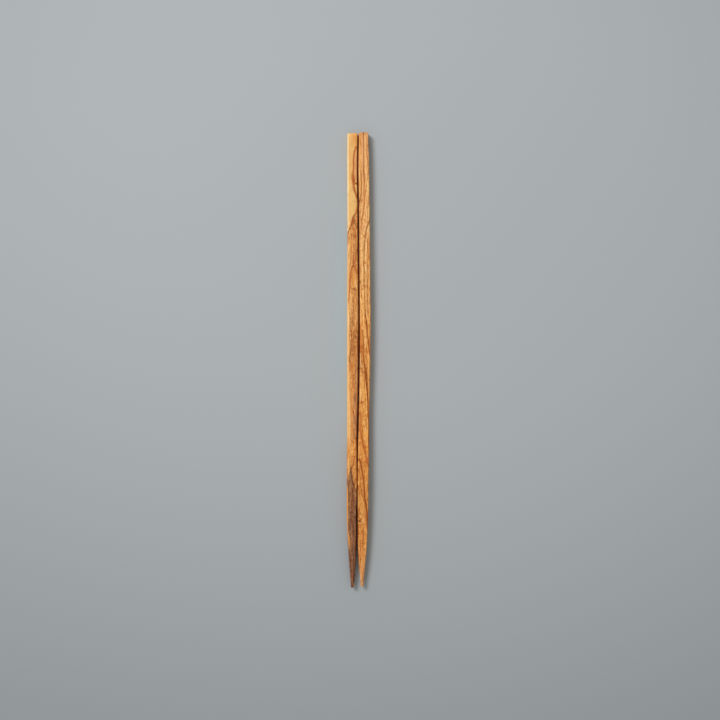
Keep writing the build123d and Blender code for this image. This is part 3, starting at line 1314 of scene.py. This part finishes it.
# The heartwood
LEFT_HEARTWOOD = (
    Vein(
        ((465, 351.6), (470, 350.8), (476, 351.5), (480, 352.2), (485, 353.5), (491, 355.4), (498, 357.7)),
        Tone.DEEP_HEART, 0.7, 0.15, 0.1, right=1,
    ),
    Vein(((468, 357), (480, 356.8), (492, 357), (503, 358)), Tone.ORANGE, 0.8, left=1.4, right=1.6),
    Vein(((470, 349.2), (478, 348.6), (484, 348.2), (492, 348.6)), Tone.PEACH, 0.45, left=0.6, right=0.6),
    Vein(((478, 347), (484, 348), (492, 348.4), (502, 348.3)), Tone.DEEP_HEART, 0.45, left=1, right=1),
    # Honey strip along the outer edge of the heartwood: partly pale wood, partly a painted highlight of the
    # lit outer side
    Vein(
        ((484, 346.6), (495, 347), (515, 346.8), (530, 347.1), (540, 348.2), (552, 349)),
        Tone.HONEY, 0.95, 0.15, 0.3, left=2.6, right=1.3,
    ),
    Vein(((486, 350.2), (496, 350.8), (508, 352), (516, 353.6)), Tone.TAN, 0.35, left=0.8, right=0.8),
    Vein(((490, 352), (500, 352.8), (508, 354)), Tone.DEEP_HEART, 0.4, left=0.8, right=0.8),
    Vein(((490, 357.4), (520, 357), (550, 356.2)), Tone.ORANGE, 0.7, left=1, right=1.6),
    Vein(((504, 356.2), (515, 355.8), (535, 355.2), (556, 354.6)), Tone.DARK, 0.6, left=1.9),
    Vein(((536, 355.8), (548, 355.6), (562, 355), (578, 354.4)), Tone.DEEP_HEART, 0.5, left=1.4, right=1.6),
    Vein(((546, 352.8), (560, 352.5), (584, 352.6)), Tone.DEEP_HEART, 0.4),
    Vein(((550, 350.3), (565, 350.8), (580, 351.2)), Tone.TAN, 0.25),
    Ripple(352.5, 511, 6.5, 16, Tone.DEEP_HEART, 0.3, pitch=3.7, lean=-0.35),
    *flecks(Tone.HONEY, (348.8, 504.4, 1.2, 3.4, 0.6)),
    *flecks(Tone.PALE, (348.6, 470.4, 1.3, 4.2, 0.65)),
    *flecks(Tone.ORANGE, (352.5, 586.2, 1.6, 1.4, 0.9, 0, 0.2)),
    *flecks(Tone.AMBER, (350, 541, 1.6, 5, 0.3)),
    *flecks(
        Tone.TAN,
        (352, 505.6, 2.2, 0.8, 0.35, -20), (349.8, 511.4, 2.6, 0.7, 0.5, -12),
        (350.4, 516.2, 2.8, 0.7, 0.45, 14), (351.6, 541.8, 3, 1.4, 0.55, 4), (350.9, 556, 0.9, 3.4, 0.5),
        (353.2, 563, 0.9, 4, 0.45, 6),
    ),
    *flecks(
        Tone.RED,
        (354.2, 498.6, 2.3, 2.6, 0.55, -6), (351.4, 565, 1.8, 1, 0.35, 10), (351.6, 577, 1, 4, 0.3),
    ),
    *flecks(
        Tone.DEEP_HEART,
        (352.5, 478.6, 1.2, 3.6, 0.5), (350.4, 492.4, 1.3, 4, 0.45), (350.4, 502, 1.2, 6, 0.4),
        (349.6, 513, 1.5, 1.5, 0.7), (354.6, 517, 1.2, 4, 0.4, 10), (349.2, 527, 1, 5, 0.4),
        (352.4, 545.4, 2.4, 0.8, 0.4, -6), (352.6, 582, 1.8, 2.8, 0.5),
    ),
)

# The left stick's wood: pale sapwood at the head, mid-brown and honey below, dark heartwood at the tip
LEFT_WOOD = WoodFinish(
    name="left_wood",
    slant=-0.6,
    seed=11.0,
    stretches=Stretches(
        (
            (130, (214, 150, 92)), (224, (220, 158, 98)), (238, (218, 154, 92)), (262, (218, 154, 94)),
            (278, (218, 152, 88)), (310, (222, 162, 98)), (332, (214, 150, 88)), (348, (206, 140, 82)),
            (362, (212, 145, 82)), (392, (215, 146, 82)), (420, (212, 146, 90)), (450, (226, 158, 88)),
            (478, (216, 152, 86)), (500, (208, 142, 88)), (590, (202, 138, 88)),
        )
    ),
    drift=(
        (130, 0.0), (170, 3.0), (205, -4.0), (240, 2.0), (290, -1.0), (340, 2.0), (400, -2.0), (460, 2.0),
        (500, -4.0), (590, 0.0),
    ),
    swirls=(
        Swirl(357.5, 170, 6.0, 26, 9.0),
        Swirl(353.0, 201, 3.5, 9, 6.0),
        Swirl(353.5, 282, 5.0, 22, -8.0),
        Swirl(353.0, 352, 4.0, 14, 6.0),
        Swirl(350.5, 448, 4.5, 16, 7.0),
    ),
    heartwood=Stretches(
        (
            (460, (150, 102, 68)), (485, (168, 118, 80)), (498, (174, 126, 90)), (512, (164, 120, 90)),
            (528, (158, 116, 88)), (540, (168, 122, 88)), (552, (148, 105, 80)), (572, (138, 94, 70)),
            (590, (136, 90, 64)),
        )
    ),
    heart_edge=Zone(
        ((336, 494), (343, 489), (346.4, 484), (347.6, 478), (348.8, 476), (349.6, 472), (350.5, 469),
         (351.8, 471), (352.7, 479), (354, 488), (355.4, 495), (357.2, 503), (362, 512)),
        Tone.HEART, 0.96, fade_in=0.0, fade_out=0.0, runs=Runs.ACROSS, softness=8.0,
    ),
    marks=(
        LEFT_SAPWOOD_AND_PAINTED_EDGE_LIGHT + LEFT_HEAD + LEFT_KNOT + LEFT_PEAK + LEFT_MIDDLE + LEFT_PATCHES + LEFT_HEARTWOOD
    ),
)

# The right stick's inner edge: painted highlight for most of its length, painted shade a fifth of the way
# down
RIGHT_EDGE_HONEY_AND_PAINTED_LIGHT = (
    Vein(((130, 359.9), (170, 360), (200, 360.2)), Tone.HONEY, 0.8, 0, 0.2, left=1.5),
    # Painted highlight along the inner edge
    Vein(
        ((131, 358.9), (200, 359.2), (250, 359.9), (320, 360.1), (370, 359.8), (400, 359.3), (440, 358.6),
         (475, 358.2)),
        Tone.PALE, 0.4, 0.02, 0.2, left=2, right=1,
    ),
    # Painted shade along the inner edge, where the seam between the sticks is darker
    Vein(
        ((222, 359.1), (240, 359.2), (262, 359.5), (285, 359.6), (304, 359.6)),
        Tone.DARK, 0.8, 0.2, 0.2, left=1.4, right=0.55,
    ),
)

# The streaks at the head
RIGHT_HEAD = (
    Vein(
        ((130, 363.6), (150, 363.6), (164, 363.5), (173, 363.7), (179, 364)),
        Tone.BROWN, 0.75, 0, 0.2, left=0.8, right=0.9,
    ),
    Vein(((130, 361.4), (150, 361.5), (172, 361.2)), Tone.AMBER, 0.35, 0, 0.3, left=0.8, right=0.8),
    Vein(((130, 368), (150, 367.8), (172, 368.2)), Tone.AMBER, 0.15, 0, 0.3, left=1.2, right=1.2),
    Vein(((134, 365.4), (160, 365.3), (177, 365.7)), Tone.PALE, 0.65),
    Vein(((137, 361.9), (150, 361.9), (163, 361.8)), Tone.PALE, 0.4, left=0.8, right=0.8),
    Vein(
        ((170, 360.5), (180, 361), (190, 361.2), (197, 360.4), (202, 359.4), (206, 358.6), (209, 357.8)),
        Tone.BROWN, 0.8, 0.12, 0.1, left=0.95, right=0.95,
    ),
    Vein(
        ((172, 363.9), (190, 364), (205, 363.8), (213, 363.4), (219, 362), (225, 361.3), (235, 360.8)),
        Tone.AMBER, 0.75, 0.1, 0.2, left=1.4, right=1.4,
    ),
    Vein(((176, 362.5), (195, 362.6), (209, 362)), Tone.PALE, 0.4, left=0.8, right=0.95),
    *flecks(Tone.PEACH, (364.5, 150, 4.2, 24, 0.55, 0, 0.4)),
    *flecks(
        Tone.PALE,
        (367.6, 141, 1.2, 6, 0.5), (367.6, 169.6, 1.1, 6, 0.5), (361.8, 203, 1.1, 4, 0.75, 14),
    ),
    *flecks(Tone.AMBER, (362.4, 170.4, 1, 4, 0.5), (364.2, 186, 1.2, 4.4, 0.7)),
    *flecks(Tone.MAUVE, (363.6, 133, 1.8, 4.5, 0.5)),
    *flecks(Tone.CREAM, (367.6, 135.4, 1.5, 3.4, 0.4), (364.5, 176.6, 1.2, 2.6, 0.3)),
    *flecks(Tone.RED, (362.8, 174.6, 1.8, 4, 0.25)),
    *flecks(Tone.RUST, (363.6, 168.5, 0.9, 6, 0.8)),
)

# The vein that comes in from the right, with a bright patch behind it
RIGHT_SLANT = (
    Vein(
        ((216, 370.6), (221, 369), (227, 367.1), (233, 365.7), (238, 364.9), (243, 364.3), (250, 364),
         (258, 363.8), (268, 363.7)),
        Tone.BROWN, 0.75, 0.08, 0.2,
    ),
    Vein(((240, 368), (248, 367.7), (262, 367.6), (270, 367.8)), Tone.AMBER, 0.5, left=0.8, right=1.2),
    Vein(((244, 365.8), (254, 365.4), (263, 365.2)), Tone.PALE, 0.5),
    Vein(((258, 362.4), (266, 362.3), (274, 361.7), (280, 361.4)), Tone.PALE, 0.75),
    Vein(((262, 363.8), (275, 363.8), (292, 363.9)), Tone.BROWN, 0.6, left=1.2),
    Vein(((264, 367.2), (278, 367), (294, 367.2)), Tone.BROWN, 0.5, left=1.2, right=1.2),
    *flecks(Tone.HONEY, (365.4, 258.4, 1, 3.2, 0.5)),
    *flecks(Tone.PEACH, (363.8, 225, 2.4, 7, 0.5)),
    *flecks(
        Tone.PALE,
        (363.4, 233.4, 1.2, 3.2, 0.7), (367.2, 236, 1.1, 3.6, 0.6), (361.9, 246, 1.3, 4.4, 0.8),
        (361.4, 256, 1.3, 6, 0.55),
    ),
    *flecks(
        Tone.AMBER,
        (364.4, 219.4, 1.2, 4, 0.45), (362.5, 220.2, 1.2, 2.6, 0.4), (361.2, 223, 0.9, 9, 0.6),
        (360.6, 226.4, 1, 5, 0.5),
    ),
    *flecks(
        Tone.CREAM,
        (364.5, 229.4, 1.3, 3.6, 0.4), (367.8, 230, 1.1, 6, 0.5, 14), (365.3, 268, 0.9, 5.5, 0.7),
        (365.8, 282, 0.9, 3.2, 0.6),
    ),
    *flecks(Tone.BROWN, (360.3, 282, 1, 4, 0.75)),
)

# Ticks like a fish bone
RIGHT_FISH_BONE = (
    Vein(((288, 367.4), (300, 367.2), (316, 367.4)), Tone.BROWN, 0.5, right=0.95),
    Vein(((290, 364.2), (303, 364.3), (318, 364.7)), Tone.BROWN, 0.6),
    *flecks(Tone.PALE, (361.3, 291.4, 1.1, 3, 0.6), (367.6, 307.6, 1.1, 6.4, 0.75)),
    *flecks(Tone.AMBER, (365.8, 286.8, 1.5, 2.6, 0.6), (369.8, 301, 0.8, 9, 0.6)),
    *flecks(Tone.CREAM, (368.4, 299, 0.9, 7.5, 0.5)),
    *flecks(
        Tone.RUST,
        (361.8, 285.8, 2.2, 0.8, 0.5, 8), (363.9, 286.2, 1.2, 3.2, 0.75), (367.2, 287, 1.1, 3.6, 0.5),
    ),
)

# The long vein to the right edge, and the rusty patch that ends at a straight line
RIGHT_LONG_VEIN = (
    Zone(
        ((318, 359), (327, 361.2), (333, 362.2), (340, 362.5), (347, 362.8), (352.2, 363.2)),
        Tone.ORANGE, 0.7, 0.3, 0.03, softness=1.6, past_line=False,
    ),
    Vein(
        ((311, 364.9), (317, 365.3), (322, 366.3), (328, 366.7), (335, 367.3), (343, 368.3), (350, 369),
         (357, 370)),
        Tone.RUST, 1, 0.15, 0.1, left=1,
    ),
    Vein(
        ((330, 362), (336, 362.9), (345, 363.2), (353, 363.6)),
        Tone.RUST, 0.8, 0.2, 0.03, left=1, right=0.9,
    ),
    Vein(
        ((351, 363.2), (357, 363.4), (361, 363.7), (366, 364.4), (372, 365.3), (378, 366), (384, 366.3),
         (392, 367), (400, 367.5), (410, 368), (425, 368.5), (445, 368.6), (466, 369)),
        Tone.RUST, 0.95, 0.12, 0.1, left=1.2, right=1.9,
    ),
    Vein(((352, 368.8), (362, 368.4), (374, 367.8), (390, 369.4)), Tone.PALE, 0.35, left=1.2, right=1.2),
    Vein(((352.6, 360), (360, 360.1), (368, 360.6)), Tone.CREAM, 0.5, 0.1, 0.3, left=2, right=1.2),
    *flecks(Tone.HONEY, (362.2, 356.4, 1.3, 2.6, 0.6)),
    *flecks(
        Tone.PALE,
        (361.5, 319.4, 1.3, 4.2, 0.6), (364.4, 331.5, 1.2, 5, 0.8, -6), (365, 341.5, 1.3, 6.4, 0.9, -6),
        (364.9, 346.4, 1.5, 3.8, 0.75, -6), (360.9, 379, 1.7, 6.5, 0.5), (363.4, 388.4, 1.2, 4.2, 0.5),
        (360.6, 393, 1.5, 9, 0.85),
    ),
    *flecks(Tone.ORANGE, (363.4, 326.6, 1.1, 3.2, 0.45), (366.8, 360.5, 1.1, 4, 0.6)),
    *flecks(
        Tone.AMBER,
        (360.2, 336, 0.8, 6, 0.5), (366.6, 336.4, 1, 3.2, 0.6), (367.4, 352.4, 1.1, 3.2, 0.6),
        (365.4, 358, 2.6, 0.9, 0.35, -48),
    ),
    *flecks(Tone.MAUVE, (362.8, 371.8, 2.6, 1.8, 0.75, 8), (362.3, 379, 1.6, 1.6, 0.2)),
    *flecks(
        Tone.CREAM,
        (366.2, 313, 0.8, 3.4, 0.6, -8), (361.4, 366.4, 1.5, 3.4, 0.4), (360.4, 398.6, 1.3, 1.8, 0.3),
    ),
    *flecks(
        Tone.RUST,
        (361.4, 347.5, 1.4, 5, 0.55, 6), (362.4, 351.4, 3, 1.3, 0.6, 10),
        (365.8, 356.6, 2.6, 0.9, 0.3, 48), (365.8, 374.5, 2.4, 12, 0.9, -5, 0.3),
    ),
    *flecks(
        Tone.DARK,
        (366.6, 323, 0.9, 3, 0.5, -8), (368.2, 340, 0.8, 4, 0.5, -6), (366.6, 384.6, 1.1, 2.8, 0.85),
        (367.2, 394.5, 0.9, 2.6, 0.45),
    ),
)

# The hook, and the broad vein below it
RIGHT_HOOK = (
    Vein(((411, 360.2), (418, 360.7), (426, 360.4), (432, 359.8)), Tone.AMBER, 0.75, left=1.9, right=1.9),
    Vein(
        ((429, 359.4), (433, 360.9), (438, 361.7), (443, 362.6), (447, 364), (453, 365.1), (459, 366.2),
         (468, 369)),
        Tone.AMBER, 0.95, 0.1, 0.1, left=1.9, right=1.6,
    ),
    *flecks(Tone.HONEY, (366.2, 438, 2.2, 6, 0.5), (361, 449, 1.2, 6, 0.6, -12)),
    *flecks(
        Tone.PALE,
        (363.5, 407.4, 1.4, 2.6, 0.6), (367.2, 412.5, 1, 1.6, 0.5), (364.4, 422.4, 1.6, 4.4, 0.65),
        (365.3, 429, 1.7, 5.4, 0.75), (364.8, 439, 1.3, 4.6, 0.7, -14), (366.4, 443.5, 1.2, 2, 0.6),
        (360.4, 456.4, 1.5, 2.4, 0.55),
    ),
    *flecks(Tone.ORANGE, (360.6, 406.5, 1.6, 3, 0.5)),
    *flecks(
        Tone.AMBER,
        (362.4, 416.4, 4, 1.6, 0.6, 4), (366.6, 418, 1, 5, 0.4), (359.5, 443.6, 1.3, 3.2, 0.7),
        (363, 446, 2.6, 8, 0.75, -16),
    ),
    *flecks(Tone.CREAM, (367.9, 421.5, 0.9, 4.5, 0.8), (366.4, 455.4, 1.2, 3.2, 0.3)),
    *flecks(Tone.BROWN, (363.6, 401.2, 1.8, 0.7, 0.5, -4)),
    *flecks(
        Tone.RUST,
        (361.5, 402.5, 3, 1.3, 0.95, -28, 0.2), (362, 436, 1.2, 6, 0.35, -10),
        (365, 447, 3.4, 0.7, 0.5, 6),
    ),
)

# The second long vein, and the one that joins it
RIGHT_SECOND_VEIN = (
    Vein(
        ((458, 357.6), (461, 359.4), (464, 360.4), (468, 361), (474, 361.9), (480, 362.8), (487, 363.6),
         (498, 364.5), (504, 365.4), (510, 366.2), (518, 366.9), (532, 367.3)),
        Tone.RUST, 1, 0.03, 0.15, left=1.4, right=1.6,
    ),
    Vein(((484, 358.8), (489, 360.4), (494, 361.8), (498, 363), (502, 364.8)), Tone.RUST, 0.55),
    *flecks(
        Tone.HONEY,
        (359.7, 474.4, 1.3, 4.4, 0.8), (359.7, 489.4, 1.2, 4.4, 0.8), (362, 506, 3.4, 10, 0.45),
    ),
    *flecks(Tone.PALE, (366.3, 483.2, 1.4, 3.2, 0.45), (363.4, 512.4, 1.3, 3, 0.5)),
    *flecks(
        Tone.AMBER,
        (359.3, 461.6, 1.2, 2.8, 0.6), (366, 462, 2.6, 6.4, 0.65, -14), (364.6, 465.5, 4, 0.8, 0.5, 2),
        (360, 469, 2.4, 0.8, 0.5, 2), (363.6, 477.8, 4.6, 0.8, 0.45), (366.6, 490.5, 2.2, 4, 0.4),
    ),
    *flecks(Tone.TAN, (359.6, 498.6, 1.2, 4.4, 0.4)),
    *flecks(
        Tone.RUST,
        (364.4, 462.6, 4.4, 0.9, 0.55, 6), (364.4, 490.6, 1.2, 4, 0.7, -8),
        (365.8, 504, 1.4, 5.5, 0.9, -10, 0.3),
    ),
    *flecks(Tone.DARK, (365.5, 503.2, 1, 3.2, 0.4, -10)),
)

# The small pit, painted as a dark spot of shade since its hollow is not modelled, and the marks on the taper
RIGHT_TAPER = (
    *flecks(Tone.HONEY, (362.2, 537, 1.7, 5, 0.75), (362.4, 562, 3.6, 24, 0.6, 0, 0.3)),
    *flecks(Tone.PEACH, (362.6, 568, 1.8, 10, 0.6), (361.6, 577.4, 1.4, 5, 0.85)),
    *flecks(
        Tone.PALE,
        (360.4, 516.4, 1.5, 0.9, 0.5, -20), (363.8, 521, 1.6, 7.4, 0.55), (365, 546.4, 1.8, 1.2, 0.85, 6),
    ),
    *flecks(Tone.ORANGE, (361.9, 585.2, 2.2, 2.4, 0.55)),
    *flecks(
        Tone.AMBER,
        (363.2, 531.8, 3.2, 0.8, 0.5, 38), (363.4, 546.6, 1.2, 1.6, 0.6),
        (361.4, 548.3, 3.2, 0.8, 0.5, 10), (362.4, 567.4, 1.2, 2.8, 0.35),
    ),
    *flecks(Tone.CREAM, (362.4, 577.4, 1.8, 5.6, 0.35)),
    *flecks(Tone.ASH, (360.2, 513.3, 2.4, 0.9, 0.75, -26)),
    *flecks(
        Tone.BROWN,
        (359.2, 520, 1.3, 0.7, 0.5, -10), (359.6, 524.6, 1.9, 1.2, 0.6, -10),
        (364.4, 573.4, 1.8, 1.2, 0.5, -8),
    ),
    *flecks(
        Tone.RUST,
        (362.6, 543.7, 4.2, 0.95, 0.7, 2), (364.9, 550, 2.1, 1.1, 0.7, 22),
        (361, 560, 0.9, 2.2, 0.95, 0, 0.3),
    ),
    # Painted shade: the dark spot of the small pit's hollow
    *flecks(Tone.DARK, (359.8, 521.1, 1.9, 1.7, 0.95, 0, 0.2)),
)

# The right stick's wood: honey throughout, with brown veins that drift to the right on their way down
RIGHT_WOOD = WoodFinish(
    name="right_wood",
    slant=0.55,
    seed=47.0,
    shift=0.25,
    stretches=Stretches(
        (
            (130, (225, 165, 106)), (150, (230, 173, 112)), (200, (234, 179, 115)), (240, (236, 183, 120)),
            (262, (235, 180, 114)), (318, (233, 171, 101)), (345, (224, 158, 89)), (375, (226, 162, 90)),
            (400, (229, 165, 92)), (450, (228, 157, 80)), (500, (219, 152, 82)), (545, (219, 150, 82)),
            (570, (221, 162, 106)), (590, (218, 162, 110)),
        )
    ),
    drift=(
        (130, 0.0), (175, 0.5), (215, -3.0), (250, -1.0), (310, 0.5), (350, 3.0), (400, 5.5), (450, 6.0),
        (500, 9.0), (540, 11.0), (590, 11.0),
    ),
    swirls=(
        Swirl(363.5, 232, 3.0, 14, 5.0),
        Swirl(365.3, 270, 3.0, 18, -4.0),
        Swirl(361.0, 340, 4.0, 18, 6.0),
        Swirl(361.5, 385, 4.0, 16, -6.0),
        Swirl(364.5, 425, 4.0, 18, 6.0),
        Swirl(362.0, 510, 4.5, 18, -7.0),
    ),
    marks=(
        RIGHT_EDGE_HONEY_AND_PAINTED_LIGHT + RIGHT_HEAD + RIGHT_SLANT + RIGHT_FISH_BONE + RIGHT_LONG_VEIN + RIGHT_HOOK
        + RIGHT_SECOND_VEIN + RIGHT_TAPER
    ),
)


def main() -> None:
    """Builds the camera, the studio and the two sticks."""
    logging.basicConfig(level=logging.INFO, format="%(message)s")
    VIEW.build()
    Studio().build()
    sticks = (
        Stick(
            node="chopstick_left",
            neighbour="chopstick_right",
            toward=1,
            piece="left_stick",
            slot="wood_left",
            finish=LEFT_WOOD,
            head_easing=0.65 * MM,
            tip_easing=0.2 * MM,
            tip_width=1.6 * MM,
        ),
        Stick(
            node="chopstick_right",
            neighbour="chopstick_left",
            toward=-1,
            piece="right_stick",
            slot="wood_right",
            finish=RIGHT_WOOD,
            head_easing=0.5 * MM,
            tip_easing=0.3 * MM,
            tip_width=1.35 * MM,
        ),
    )
    for stick in sticks:
        stick.build()


if __name__ == "__main__":
    main()
